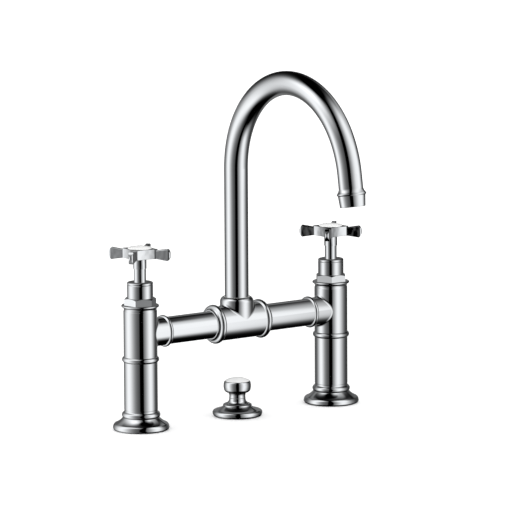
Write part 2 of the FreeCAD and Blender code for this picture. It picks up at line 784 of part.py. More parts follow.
def tee_body():
    shoulder_r = SWIVEL_R + NECK_LIP
    barrel = turned([
        (0, -TEE_FACE),
        (TEE_THREAD_R, -TEE_FACE),
        (TEE_THREAD_R, -TEE_BODY_HALF),
        (TEE_R, -TEE_BODY_HALF),
        (TEE_R, TEE_BODY_HALF),
        (TEE_THREAD_R, TEE_BODY_HALF),
        (TEE_THREAD_R, TEE_FACE),
        (0, TEE_FACE),
    ])
    neck = turned([
        (0, BRIDGE_HEIGHT),
        (NECK_R, BRIDGE_HEIGHT),
        (NECK_R, NECK_TOP - NECK_SHOULDER),
        (shoulder_r, NECK_TOP, tangent_bulge(NECK_R - shoulder_r, NECK_SHOULDER)),
        (0, NECK_TOP),
    ])
    outside = along_x(barrel, 1, 0).fuse(neck)
    outside = outside.makeFillet(TEE_FILLET, crossing_edges(outside))
    spigot_r = TUBE_SPIGOT_R + SLIP
    spigot_end = TEE_FACE - TUBE_SPIGOT_LENGTH - SLIP
    waterway = turned([
        (0, -TEE_FACE),
        (spigot_r, -TEE_FACE),
        (spigot_r, -spigot_end),
        (TUBE_BORE_R, -spigot_end),
        (TUBE_BORE_R, spigot_end),
        (spigot_r, spigot_end),
        (spigot_r, TEE_FACE),
        (0, TEE_FACE),
    ])
    socket = rod(SWIVEL_R + SLIP, SWIVEL_FOOT - SLIP, NECK_TOP)
    screw_hole = back_hole(LOCK_SCREW_R + SLIP)
    return outside.cut(along_x(waterway, 1, 0).fuse(socket).fuse(screw_hole))


def back_hole(radius):
    """Bar from the swivel's face to the back of the tee's neck, at the locking screw."""
    start = FreeCAD.Vector(0, SWIVEL_R, LOCK_Z)
    return Part.makeCylinder(radius, NECK_R - SWIVEL_R, start, FreeCAD.Vector(0, 1, 0))


# ---- Spout ----

def swivel_seal_heights():
    lowest = BRIDGE_HEIGHT + TUBE_BORE_R + SEAL_WIDTH
    return [lowest, lowest + SWIVEL_SEAL_STEP]


def spout_spigot():
    """Brass swivel brazed into the spout: four water windows with a sealed land above them."""
    waist_low = SWIVEL_FOOT + SWIVEL_LAND
    waist_high = BRIDGE_HEIGHT + TUBE_BORE_R
    neck_top = TUBE_SEAT_Z + SWIVEL_NECK_LENGTH
    outline = [
        (0, SWIVEL_FOOT),
        (SWIVEL_R, SWIVEL_FOOT),
        (SWIVEL_R, waist_low),
        (SWIVEL_WAIST_R, waist_low),
        (SWIVEL_WAIST_R, waist_high),
        (SWIVEL_R, waist_high),
    ]
    outline += grooves(SWIVEL_R, swivel_seal_heights())
    outline += [
        (SWIVEL_R, TUBE_SEAT_Z),
        (SPOUT_BORE_R - SLIP, TUBE_SEAT_Z),
        (SPOUT_BORE_R - SLIP, neck_top),
        (SWIVEL_BORE_R, neck_top),
        (SWIVEL_BORE_R, SWIVEL_FOOT + SWIVEL_FLOOR),
        (0, SWIVEL_FOOT + SWIVEL_FLOOR),
    ]
    spigot = turned(outline)
    for index in range(4):
        window = Part.makeCylinder(SWIVEL_WINDOW_R, SWIVEL_R, CENTRE, FreeCAD.Vector(1, 0, 0))
        window.translate(FreeCAD.Vector(0, 0, BRIDGE_HEIGHT))
        spigot = spigot.cut(spun(window, 90 * index + 45))
    return spigot.cut(stop_groove())


def stop_groove():
    """Groove for the locking screw's tip: its two ends are the swivel's stops."""
    half_width = LOCK_TIP_R + SWING_GAP
    floor_r = SWIVEL_R - GROOVE_DEPTH
    end_allowance = math.degrees((LOCK_TIP_R + SWING_GAP) / floor_r)
    sweep = 2 * (SWIVEL_STOP + end_allowance)
    profile = outline_face([
        (floor_r, LOCK_Z - half_width),
        (SWIVEL_R + SLIP, LOCK_Z - half_width),
        (SWIVEL_R + SLIP, LOCK_Z + half_width),
        (floor_r, LOCK_Z + half_width),
    ])
    return spun(profile.revolve(CENTRE, UP, sweep), 90 - sweep / 2)


def locking_screw():
    """Grub screw at the back of the neck, with a dog tip in the spout's groove."""
    body = back_hole(LOCK_SCREW_R)
    tip_length = GROOVE_DEPTH - SWING_GAP
    tip = Part.makeCylinder(
        LOCK_TIP_R, tip_length, FreeCAD.Vector(0, SWIVEL_R - tip_length, LOCK_Z),
        FreeCAD.Vector(0, 1, 0))
    key = hex_prism(LOCK_KEY_FLATS, 0, LOCK_SCREW_R)
    key.rotate(CENTRE, FreeCAD.Vector(1, 0, 0), 90)
    key.translate(FreeCAD.Vector(0, NECK_R + SLIP, LOCK_Z))
    return body.fuse(tip).cut(key).removeSplitter()


def swivel_o_rings():
    rings = []
    for height in swivel_seal_heights():
        rings.append(o_ring(SWIVEL_R - SEAL_DEPTH, SWIVEL_R, height))
    return Part.makeCompound(rings)


def glide_ring():
    return ring(SPOUT_R + SLIP, SWIVEL_R, TUBE_SEAT_Z + SLIP, NECK_TOP)


def spout_bar(radius):
    """Solid bar along the spout's line: riser, arch and straight end."""
    riser = rod(radius, TUBE_SEAT_Z, SPOUT_ARCH_START)
    section = Part.Face(Part.Wire(Part.makeCircle(
        radius, FreeCAD.Vector(0, 0, SPOUT_ARCH_START), UP)))
    arch_centre = FreeCAD.Vector(0, -SPOUT_ARCH_R, SPOUT_ARCH_START)
    arch = section.revolve(arch_centre, FreeCAD.Vector(1, 0, 0), SPOUT_ARCH_SWEEP)
    lean = math.radians(180 - SPOUT_ARCH_SWEEP)
    outwards = FreeCAD.Vector(0, -math.sin(lean), -math.cos(lean))
    end_run = Part.makeCylinder(radius, SPOUT_END_RUN, arch_end(), outwards)
    return riser.fuse(arch).fuse(end_run).removeSplitter()


def spout_tube():
    return spout_bar(SPOUT_R).cut(spout_bar(SPOUT_BORE_R))


# ---- Nozzle and aerator, made along Z with the crest of the bead at zero ----

def nozzle():
    crest_back = NOZZLE_STEP / 2
    seat = NOZZLE_STEP + AERATOR_WALL
    return turned([
        (NOZZLE_WATERWAY_R, -NOZZLE_CONE - NOZZLE_SPIGOT_LENGTH),
        (SPOUT_BORE_R - SLIP, -NOZZLE_CONE - NOZZLE_SPIGOT_LENGTH),
        (SPOUT_BORE_R - SLIP, -NOZZLE_CONE),
        (SPOUT_R, -NOZZLE_CONE),
        (NOZZLE_CREST_R, -crest_back, -QUARTER_ROUND / 4),
        (NOZZLE_CREST_R, crest_back, QUARTER_ROUND),
        (NOZZLE_TOP_R, NOZZLE_STEP),
        (NOZZLE_MOUTH_R, NOZZLE_LENGTH - CHAMFER),
        (NOZZLE_MOUTH_R - CHAMFER, NOZZLE_LENGTH, QUARTER_ROUND),
        (NOZZLE_BORE_R, NOZZLE_LENGTH),
        (NOZZLE_BORE_R, seat),
        (NOZZLE_WATERWAY_R, seat),
    ])


def aerator_seal():
    seat = NOZZLE_STEP + AERATOR_WALL
    return ring(NOZZLE_WATERWAY_R, NOZZLE_BORE_R - SLIP, seat, seat + AERATOR_SEAL)


def aerator_housing():
    low = NOZZLE_STEP + AERATOR_WALL + AERATOR_SEAL
    high = NOZZLE_LENGTH - AERATOR_RECESS
    inner_r = NOZZLE_BORE_R - SLIP - AERATOR_WALL
    ledge_r = inner_r - AERATOR_WALL
    ledge_low = high - SCREEN_THICKNESS - SLIP - AERATOR_WALL
    return turned([
        (inner_r, low),
        (NOZZLE_BORE_R - SLIP, low),
        (NOZZLE_BORE_R - SLIP, high),
        (inner_r, high),
        (inner_r, ledge_low + AERATOR_WALL),
        (ledge_r, ledge_low + AERATOR_WALL),
        (ledge_r, ledge_low),
        (inner_r, ledge_low),
    ])


def aerator_screen():
    high = NOZZLE_LENGTH - AERATOR_RECESS
    screen_r = NOZZLE_BORE_R - AERATOR_WALL - 2 * SLIP
    screen = rod(screen_r, high - SCREEN_THICKNESS, high)
    pitch = screen_r / (SCREEN_RINGS + 1)
    hole = rod(SCREEN_HOLE_R, high - 2 * SCREEN_THICKNESS, high + SCREEN_THICKNESS)
    holes = [hole]
    for index in range(1, SCREEN_RINGS + 1):
        count = 6 * index
        for place in range(count):
            moved = hole.copy()
            moved.translate(FreeCAD.Vector(pitch * index, 0, 0))
            holes.append(spun(moved, 360 * place / count))
    return screen.cut(Part.makeCompound(holes))


# ---- Basin waste: rosette, knob, rod and guide ----

def waste_rosette():
    bore_r = GUIDE_R + SLIP
    hollow_top = ROSETTE_RIM_TOP - ROSETTE_HOLLOW / 2
    rod_gap_r = ROD_R + SWING_GAP
    bore_top = ROSETTE_HEIGHT - GUIDE_TOP_GAP
    return turned([
        (bore_r, 0),
        (bore_r + ROSETTE_HOLLOW, 0),
        (bore_r + ROSETTE_HOLLOW, hollow_top),
        (ROSETTE_BASE_R - ROSETTE_HOLLOW, hollow_top),
        (ROSETTE_BASE_R - ROSETTE_HOLLOW, 0),
        (ROSETTE_BASE_R, 0),
        (ROSETTE_R, ROSETTE_RIM_WIDEST, QUARTER_ROUND / 2),
        (ROSETTE_RIM_TOP_R, ROSETTE_RIM_TOP, QUARTER_ROUND),
        (ROSETTE_COLLAR_R, ROSETTE_COLLAR_LOW, -QUARTER_ROUND / 4),
        (ROSETTE_COLLAR_R, ROSETTE_COLLAR_HIGH, QUARTER_ROUND),
        (ROSETTE_COLLAR_TOP_R, ROSETTE_COLLAR_HIGH + CHAMFER),
        (KNOB_NECK_R, ROSETTE_HEIGHT, -QUARTER_ROUND),
        (rod_gap_r, ROSETTE_HEIGHT),
        (rod_gap_r, bore_top),
        (bore_r, bore_top),
    ])


def waste_knob():
    waist_z = KNOB_Z + KNOB_WAIST_HEIGHT
    rim_z = KNOB_Z + KNOB_RIM_HEIGHT
    rim_r = KNOB_R - KNOB_RIM_IN
    waist_r = KNOB_NECK_R + KNOB_RIM_IN
    hole_top = KNOB_Z + ROD_GRIP + SLIP
    return turned([
        (ROD_R + SLIP, KNOB_Z),
        (KNOB_NECK_R, KNOB_Z),
        (waist_r, waist_z, -QUARTER_ROUND / 2),
        (KNOB_R, KNOB_Z + KNOB_SIDE_LOW, QUARTER_ROUND),
        (KNOB_R, KNOB_Z + KNOB_SIDE_HIGH, QUARTER_ROUND / 4),
        (rim_r, rim_z, QUARTER_ROUND / 2),
        (0, rim_z + KNOB_DOME, tangent_bulge(KNOB_DOME, rim_r)),
        (0, hole_top),
        (ROD_R + SLIP, hole_top),
    ])


def waste_pull_rod():
    """Rod under the knob, stepped down at its foot for the waste's linkage."""
    top = KNOB_Z + ROD_GRIP
    end_top = ROD_END - ROD_BELOW_DECK
    return turned([
        (0, -ROD_BELOW_DECK),
        (ROD_END_R - CHAMFER, -ROD_BELOW_DECK),
        (ROD_END_R, CHAMFER - ROD_BELOW_DECK),
        (ROD_END_R, end_top),
        (ROD_R, end_top),
        (ROD_R, top),
        (0, top),
    ])


def waste_guide():
    top = ROSETTE_HEIGHT - GUIDE_TOP_GAP - SLIP
    return ring(ROD_R + SLIP, GUIDE_R, -GUIDE_BELOW_DECK, top)


def waste_washer():
    return ring(GUIDE_R + SLIP, GUIDE_WASHER_R, -DECK_THICKNESS - GUIDE_WASHER_THICKNESS,
                -DECK_THICKNESS)


def waste_nut():
    top = -DECK_THICKNESS - GUIDE_WASHER_THICKNESS
    blank = chamfered_hex(GUIDE_NUT_FLATS, top - GUIDE_NUT_HEIGHT, top, both_ends=True)
    return blank.cut(rod(GUIDE_R + SLIP, top - GUIDE_NUT_HEIGHT, top))


# ---- The whole faucet ----

def faucet():
    """Every node by name, in its place."""
    nodes = {}
    sides = [("hot", -1, HOT_HANDLE_TURN, HOT_NUT_TURN), ("cold", 1, COLD_HANDLE_TURN, COLD_NUT_TURN)]
    fixed = {
        "foot_flange": foot_flange(),
        "deck_gasket": deck_gasket(),
        "lower_pillar": lower_pillar(),
        "valve_body": valve_body(),
        "seat_seal": seat_seal(),
        "cartridge_body": cartridge_body(),
        "body_o_ring": body_o_ring(),
        "fixed_disc": fixed_disc(),
        "bonnet_sleeve": bonnet_sleeve(),
        "shank": shank(),
        "clamp_washer": clamp_washer(),
        "back_nut": back_nut(),
    }
    turning = {
        "moving_disc": moving_disc(),
        "spindle": spindle(),
        "spindle_o_rings": spindle_o_rings(),
        "cross_handle": cross_handle(),
        "handle_screw": handle_screw(),
        "index_cap": index_cap(),
    }
    for name, side, handle_turn, nut_turn in sides:
        flip = 180 if side > 0 else 0
        for part, shape in fixed.items():
            nodes[name + "_" + part] = on_pillar(shape, side)
        nodes[name + "_bonnet_nut"] = on_pillar(spun(bonnet_nut(), nut_turn - flip), side)
        for part, shape in turning.items():
            nodes[name + "_" + part] = on_pillar(spun(shape, handle_turn - flip), side)
        nodes[name + "_bridge_tube"] = along_x(bridge_tube(), side, TEE_FACE)
        nodes[name + "_bridge_o_rings"] = along_x(bridge_o_rings(), side, TEE_FACE)
        nodes[name + "_union_collar"] = along_x(union_collar(), side, 0)
    nodes["tee_body"] = tee_body()
    nodes["locking_screw"] = locking_screw()
    nodes["glide_ring"] = glide_ring()
    nodes["spout_spigot"] = spout_spigot()
    nodes["swivel_o_rings"] = swivel_o_rings()
    nodes["spout_tube"] = spout_tube()
    nodes["nozzle"] = at_outlet(nozzle())
    nodes["aerator_seal"] = at_outlet(aerator_seal())
    nodes["aerator_housing"] = at_outlet(aerator_housing())
    nodes["aerator_screen"] = at_outlet(aerator_screen())
    nodes["waste_rosette"] = waste_rosette()
    nodes["waste_knob"] = waste_knob()
    nodes["waste_pull_rod"] = waste_pull_rod()
    nodes["waste_guide"] = waste_guide()
    nodes["waste_washer"] = waste_washer()
    nodes["waste_nut"] = waste_nut()
    return nodes


os.makedirs("parts", exist_ok=True)
for node, shape in faucet().items():
    shape.exportStep("parts/" + node + ".step")
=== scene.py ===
import json
import math

import bpy
from mathutils import Matrix, Vector

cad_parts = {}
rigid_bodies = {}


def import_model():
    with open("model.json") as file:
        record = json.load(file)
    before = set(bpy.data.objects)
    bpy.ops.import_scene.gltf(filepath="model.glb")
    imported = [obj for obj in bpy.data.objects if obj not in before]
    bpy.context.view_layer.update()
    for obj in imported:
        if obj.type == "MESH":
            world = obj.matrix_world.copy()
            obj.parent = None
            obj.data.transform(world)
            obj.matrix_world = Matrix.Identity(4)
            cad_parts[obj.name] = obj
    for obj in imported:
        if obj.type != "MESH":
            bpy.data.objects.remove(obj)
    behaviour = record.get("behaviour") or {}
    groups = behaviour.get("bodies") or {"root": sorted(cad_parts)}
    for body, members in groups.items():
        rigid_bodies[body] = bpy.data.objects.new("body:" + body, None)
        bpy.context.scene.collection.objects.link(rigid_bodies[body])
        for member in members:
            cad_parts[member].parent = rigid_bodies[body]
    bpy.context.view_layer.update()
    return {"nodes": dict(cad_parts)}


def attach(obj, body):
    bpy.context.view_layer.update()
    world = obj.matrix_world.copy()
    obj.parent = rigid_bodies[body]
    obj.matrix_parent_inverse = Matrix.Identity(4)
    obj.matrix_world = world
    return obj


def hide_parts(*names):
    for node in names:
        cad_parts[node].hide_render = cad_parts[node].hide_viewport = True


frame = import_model()
nodes = frame["nodes"]
scene = bpy.context.scene


# ---- Camera ----
# A long lens looks down the diagonal of the bridge from a little above it, as
# the photograph does.

LENS = 377.85
DISTANCE = 4.624
TO_RIGHT = Vector((0.80609, -0.59179, -0.00534))
TO_TOP = Vector((0.09836, 0.12507, 0.98727))
TO_CAMERA = Vector((-0.58358, -0.79633, 0.15902))
AIM_HEIGHT = 0.150
AIM_RIGHT = 0.01686
AIM_DOWN = 0.0105
NEAREST_SEEN = 0.1
FURTHEST_SEEN = 100

camera = bpy.data.objects.new("camera", bpy.data.cameras.new("camera"))
camera.data.lens = LENS
camera.data.clip_start = NEAREST_SEEN
camera.data.clip_end = FURTHEST_SEEN
aim = Vector((0, 0, AIM_HEIGHT)) + TO_RIGHT * AIM_RIGHT - TO_TOP * AIM_DOWN
stance = Matrix((TO_RIGHT, TO_TOP, TO_CAMERA)).transposed().to_4x4()
camera.matrix_world = Matrix.Translation(aim + TO_CAMERA * DISTANCE) @ stance
scene.collection.objects.link(camera)
scene.camera = camera
scene.view_settings.view_transform = "Standard"


# ---- Studio light ----
# Polished chrome shows only what stands round it: here a dark tent with a tall soft light
# on the left and the right, dim ones behind, and a black gap in its front wall, which hangs
# further away. Only reflections see the tent. Everything else is lit by plain white.

FRONT = -90 - 36.235        # degrees round Z from +X to the side the camera is on
PLAIN_WHITE = 1.3
TENT_R = 0.47
TENT_MIDDLE = (0, -0.05, 0.12)
TENT_FRONT = 2.4            # the front wall hangs this many times further away
TENT_SEGMENTS = 128
TENT_RINGS = 64
TENT_GLOW = 1.07
GAP_LEFT = -9.5             # degrees right of the camera, as for the lights
GAP_RIGHT = 11
GAP_EDGE = 7

# Each light: degrees right of the camera, spread to its left and right, lower end with
# its soft edge, upper end with its soft edge, all in degrees, and strength.
SOFT_LIGHTS = [
    (-85, 22, 19, -25, 47, 45, 29, 0.64),     # left, tall
    (-85, 27, 40, -25, 47, 45, 29, 0.28),     # wide glow round the same one
    (-62, 20, 24, 54, 24, 62, 12, 0.50),      # left, high up
    (-150, 16, 20, 14, 10, 20, 8, 0.14),      # behind on the left
    (176, 12, 16, 20, 9, 28, 8, 0.16),        # straight behind
    (64, 25, 26, -34, 34, 54, 28, 0.88),      # right, tall
    (86, 9, 9, 6, 8, 30, 14, 0.20),           # narrow strip beside it
    (118, 20, 22, 40, 14, 52, 10, 0.24),      # behind on the right, high up
    (180, 22, 22, -24, 12, 4, 8, 0.17),       # straight behind, low down
]


def wire(tree, kind, *values, **settings):
    """Add a shader node, set or link its inputs in order and give its first output."""
    node = tree.nodes.new(kind)
    for setting, value in settings.items():
        setattr(node, setting, value)
    for index, value in enumerate(values):
        if isinstance(value, bpy.types.NodeSocket):
            tree.links.new(value, node.inputs[index])
        elif value is not None:
            node.inputs[index].default_value = value
    return node.outputs[0] if node.outputs else None


def sum_of(tree, operation, *values):
    """Reckon with one or two values in the shader."""
    return wire(tree, "ShaderNodeMath", *values, operation=operation)


def edge(tree, value, start, end):
    """Soft step from 0 at start to 1 at end."""
    low = min(start, end)
    high = max(start, end)
    ends = (0.0, 1.0) if end > start else (1.0, 0.0)
    return wire(tree, "ShaderNodeMapRange", value, low, high, *ends,
                interpolation_type="SMOOTHSTEP")


def aside(wall, degrees):
    """Signed turn of a place on the tent from one that stands this far right of the camera."""
    tree, x, y = wall["tree"], wall["x"], wall["y"]
    heading = math.radians(FRONT + degrees)
    across, along = math.cos(heading), math.sin(heading)
    ahead = sum_of(tree, "ADD", sum_of(tree, "MULTIPLY", x, across),
                   sum_of(tree, "MULTIPLY", y, along))
    beside = sum_of(tree, "SUBTRACT", sum_of(tree, "MULTIPLY", y, across),
                    sum_of(tree, "MULTIPLY", x, along))
    return sum_of(tree, "ARCTAN2", beside, ahead)


def glow(tree, swing, left_spread, right_spread):
    """Bell curve over a swing in radians, with its own spread in degrees on each side."""
    left = sum_of(tree, "DIVIDE", sum_of(tree, "MINIMUM", swing, 0.0),
                  math.radians(left_spread))
    right = sum_of(tree, "DIVIDE", sum_of(tree, "MAXIMUM", swing, 0.0),
                   math.radians(right_spread))
    spread = sum_of(tree, "ADD", left, right)
    square = sum_of(tree, "MULTIPLY", spread, spread)
    return sum_of(tree, "POWER", math.e, sum_of(tree, "MULTIPLY", square, -0.5))


def softbox(wall, degrees, left_spread, right_spread, low, low_edge, high, high_edge, strength):
    """Light from one side of the tent between two heights, with soft edges."""
    tree, height = wall["tree"], wall["height"]
    bell = glow(tree, aside(wall, degrees), left_spread, right_spread)
    lit = sum_of(tree, "MULTIPLY", bell, strength)
    above = edge(tree, height, math.radians(low - low_edge), math.radians(low))
    below = edge(tree, height, math.radians(high + high_edge), math.radians(high))
    return sum_of(tree, "MULTIPLY", lit, sum_of(tree, "MULTIPLY", above, below))


world = bpy.data.worlds.new("plain_white")
world.use_nodes = True
world.node_tree.nodes["Background"].inputs["Color"].default_value = (1, 1, 1, 1)
world.node_tree.nodes["Background"].inputs["Strength"].default_value = PLAIN_WHITE
scene.world = world

tent_cloth = bpy.data.materials.new("light_tent")
tent_cloth.use_nodes = True
cloth = tent_cloth.node_tree
cloth.nodes.clear()
spot_on_tent = cloth.nodes.new("ShaderNodeTexCoord").outputs["Object"]
outward = cloth.nodes.new("ShaderNodeSeparateXYZ")
cloth.links.new(wire(cloth, "ShaderNodeVectorMath", spot_on_tent, operation="NORMALIZE"),
                outward.inputs[0])
tent_wall = {
    "tree": cloth,
    "x": outward.outputs["X"],
    "y": outward.outputs["Y"],
    "height": sum_of(cloth, "ARCSINE", outward.outputs["Z"]),
}
lamps = [softbox(tent_wall, *light) for light in SOFT_LIGHTS]
shine = lamps[0]
for lamp in lamps[1:]:
    shine = sum_of(cloth, "ADD", shine, lamp)
from_camera = aside(tent_wall, 0)
gap_left = edge(cloth, from_camera, math.radians(GAP_LEFT), math.radians(GAP_LEFT - GAP_EDGE))
gap_right = edge(cloth, from_camera, math.radians(GAP_RIGHT), math.radians(GAP_RIGHT + GAP_EDGE))
shine = sum_of(cloth, "MULTIPLY", shine, sum_of(cloth, "ADD", gap_left, gap_right))
grey = wire(cloth, "ShaderNodeCombineColor", shine, shine, shine)
wire(cloth, "ShaderNodeOutputMaterial", wire(cloth, "ShaderNodeEmission", grey, TENT_GLOW))
tent_cloth.cycles.emission_sampling = "NONE"

bpy.ops.mesh.primitive_uv_sphere_add(segments=TENT_SEGMENTS, ring_count=TENT_RINGS,
                                     radius=TENT_R, location=TENT_MIDDLE)
tent = bpy.context.object
tent.name = "light_tent"
tent.data.materials.append(tent_cloth)
to_front = Vector((math.cos(math.radians(FRONT)), math.sin(math.radians(FRONT)), 0))
for knot in tent.data.vertices:
    knot.co += to_front * max(knot.co.dot(to_front), 0) * (TENT_FRONT - 1)
tent.visible_camera = False
tent.visible_diffuse = False
tent.visible_transmission = False
tent.visible_volume_scatter = False
tent.visible_shadow = False


# ---- Worktop ----
# The faucet is shown standing on a plain white studio floor, wide enough to
# reach past every view. It is stage, not part of the faucet.

MM = 0.001
FLOOR_SIZE = 60
FLOOR_DROP = 0.2 * MM
FLOOR_ROUGHNESS = 0.9

reach = FLOOR_SIZE / 2
floor_corners = [
    (-reach, -reach, -FLOOR_DROP),
    (reach, -reach, -FLOOR_DROP),
    (reach, reach, -FLOOR_DROP),
    (-reach, reach, -FLOOR_DROP),
]
floor_mesh = bpy.data.meshes.new("floor")
floor_mesh.from_pydata(floor_corners, [], [(0, 1, 2, 3)])
floor = bpy.data.objects.new("floor", floor_mesh)
scene.collection.objects.link(floor)
matt_white = bpy.data.materials.new("matt_white_floor")
matt_white.use_nodes = True
paint = matt_white.node_tree.nodes["Principled BSDF"]
paint.inputs["Base Color"].default_value = (1, 1, 1, 1)
paint.inputs["Roughness"].default_value = FLOOR_ROUGHNESS
paint.inputs["Specular IOR Level"].default_value = 0
floor_mesh.materials.append(matt_white)


# ---- Foot flanges ----
# Two wide discs of turned brass, polished and chrome plated, that sweep down
# from the pillar's foot to a rounded rim on the deck and hide the deck holes.

PILLAR_X = {"hot": -101.6, "cold": 101.6}
PILLAR_R = 14.4
PILLAR_SEAT_R = PILLAR_R + 1.1
FLANGE_HOLE_R = 10.78
FLANGE_TOP = 10.6
RECESS_IN_R = 13.95         # the gasket's recess in the underside
RECESS_OUT_R = 20.65
RECESS_DEPTH = 2.85
RIM_FOOT_R = 22.9
RIM_R = 24.0
RIM_Z = 2.5
SWEEP_R = 22.7              # where the rim goes over into the swept slope
SWEEP_Z = 5.2

CHROME_COLOURS = ((0.90, 0.925, 0.95), (0.95, 0.97, 0.99))
GRAIN_DETAIL = 2.0
COLOUR_DETAIL = 4.0
GLOSS_DETAIL = 5.0
NOISE_LOW = 0.3             # nearly all of the noise lies between these two
NOISE_HIGH = 0.7

QUARTER_ROUND = math.tan(math.pi / 8)
TURNED_STEPS = 128
ARC_STEP = 0.09             # radians
SAME_POINT = 1e-6
SAME_HEADING = 0.02
LEAST_BEND = 0.06           # radians; a corner flatter than this is left alone
EASE = 0.3
EASE_SHARE = 0.42           # the most that one corner takes of a line
EASE_PULL = 0.62


def speckle(tree, size, detail):
    """Even noise from 0 to 1 with blotches of about this size in metres."""
    spot = tree.nodes.new("ShaderNodeTexCoord").outputs["Object"]
    return wire(tree, "ShaderNodeTexNoise", spot, None, 1 / size, detail)


def blend_of(tree, share, first, second):
    """Colour between two others by share."""
    ramp = tree.nodes.new("ShaderNodeValToRGB")
    ramp.color_ramp.elements[0].color = (*first, 1)
    ramp.color_ramp.elements[1].color = (*second, 1)
    tree.links.new(share, ramp.inputs[0])
    return ramp.outputs[0]


def between(tree, share, low, high):
    """Noise stretched to run from low to high."""
    return wire(tree, "ShaderNodeMapRange", share, NOISE_LOW, NOISE_HIGH, low, high)


def finish(name, colours, blotch, roughness, gloss_blotch, grain, grain_depth, metallic=0.0):
    """Material with patchy colour, uneven gloss and a fine bumpy grain, its sizes in metres."""
    material = bpy.data.materials.new(name)
    material.use_nodes = True
    tree = material.node_tree
    shader = tree.nodes["Principled BSDF"]
    shader.inputs["Metallic"].default_value = metallic
    tree.links.new(blend_of(tree, speckle(tree, blotch, COLOUR_DETAIL), *colours),
                   shader.inputs["Base Color"])
    tree.links.new(between(tree, speckle(tree, gloss_blotch, GLOSS_DETAIL), *roughness),
                   shader.inputs["Roughness"])
    bump = tree.nodes.new("ShaderNodeBump")
    bump.inputs["Strength"].default_value = 1
    bump.inputs["Distance"].default_value = grain_depth
    tree.links.new(speckle(tree, grain, GRAIN_DETAIL), bump.inputs["Height"])
    tree.links.new(bump.outputs[0], shader.inputs["Normal"])
    return material


chrome = finish("polished_chrome", CHROME_COLOURS, blotch=0.03, roughness=(0.035, 0.065),
                gloss_blotch=0.012, grain=0.004, grain_depth=0.4e-6, metallic=1)


def runs_of(outline):
    """Lines and arcs of a closed outline: start, end, the arc's middle or None, its rise."""
    runs = []
    for index, point in enumerate(outline):
        start, end = Vector(outline[index - 1][:2]), Vector(point[:2])
        if start.x == end.x == 0:
            continue
        centre = None
        rise = 0
        if len(point) == 3:
            rise = point[2]
            half = (end - start) / 2
            out = Vector((half.y, -half.x))
            centre = start + half + out * ((rise * rise - 1) / (2 * rise))
        runs.append((start, end, centre, rise))
    return runs


def walk(run, share):
    """Point and heading at a share of a run's length."""
    start, end, centre, rise = run
    if centre is None:
        return start.lerp(end, share), (end - start).normalized()
    sweep = 4 * math.atan(rise)
    spoke = start - centre
    spoke.rotate(Matrix.Rotation(sweep * share, 2))
    way = 1 if rise > 0 else -1
    return centre + spoke, Vector((-spoke.y, spoke.x)).normalized() * way


def run_length(run):
    """Length of a line or an arc."""
    start, end, centre, rise = run
    if centre is None:
        return (end - start).length
    return abs(4 * math.atan(rise)) * (start - centre).length


def on_curve(curve, share):
    """Point and heading on a Bezier curve of four points."""
    a, b, c, d = curve
    rest = 1 - share
    point = a * rest ** 3
    point += b * (3 * rest * rest * share)
    point += c * (3 * rest * share * share)
    point += d * share ** 3
    heading = (b - a) * (rest * rest) + (c - b) * (2 * rest * share) + (d - c) * (share * share)
    return point, heading.normalized()


def eased_outline(outline, ease):
    """Points of the outline with their headings, its corners eased, as (point, heading) pairs."""
    runs = runs_of(outline)
    cuts = []
    for index, run in enumerate(runs):
        before = runs[index - 1]
        joined = (before[1] - run[0]).length < SAME_POINT
        bend = walk(before, 1)[1].angle(walk(run, 0)[1], 0)
        cut = 0
        if joined and bend > LEAST_BEND:
            cut = min(ease, EASE_SHARE * run_length(before), EASE_SHARE * run_length(run))
        cuts.append(cut)
    points = []
    for index, run in enumerate(runs):
        after = (index + 1) % len(runs)
        length = run_length(run)
        begin = cuts[index] / length
        until = 1 - cuts[after] / length
        steps = 1
        if run[2] is not None:
            sweep = abs(4 * math.atan(run[3])) * (until - begin)
            steps = max(2, math.ceil(sweep / ARC_STEP))
        for step in range(steps + 1):
            points.append(walk(run, begin + (until - begin) * step / steps))
        if cuts[after]:
            here, heading = points[-1]
            there, onward = walk(runs[after], cuts[after] / run_length(runs[after]))
            pull = cuts[after] * EASE_PULL
            curve = [here, here + heading * pull, there - onward * pull, there]
            for share in (0.25, 0.5, 0.75):
                points.append(on_curve(curve, share))
    return points


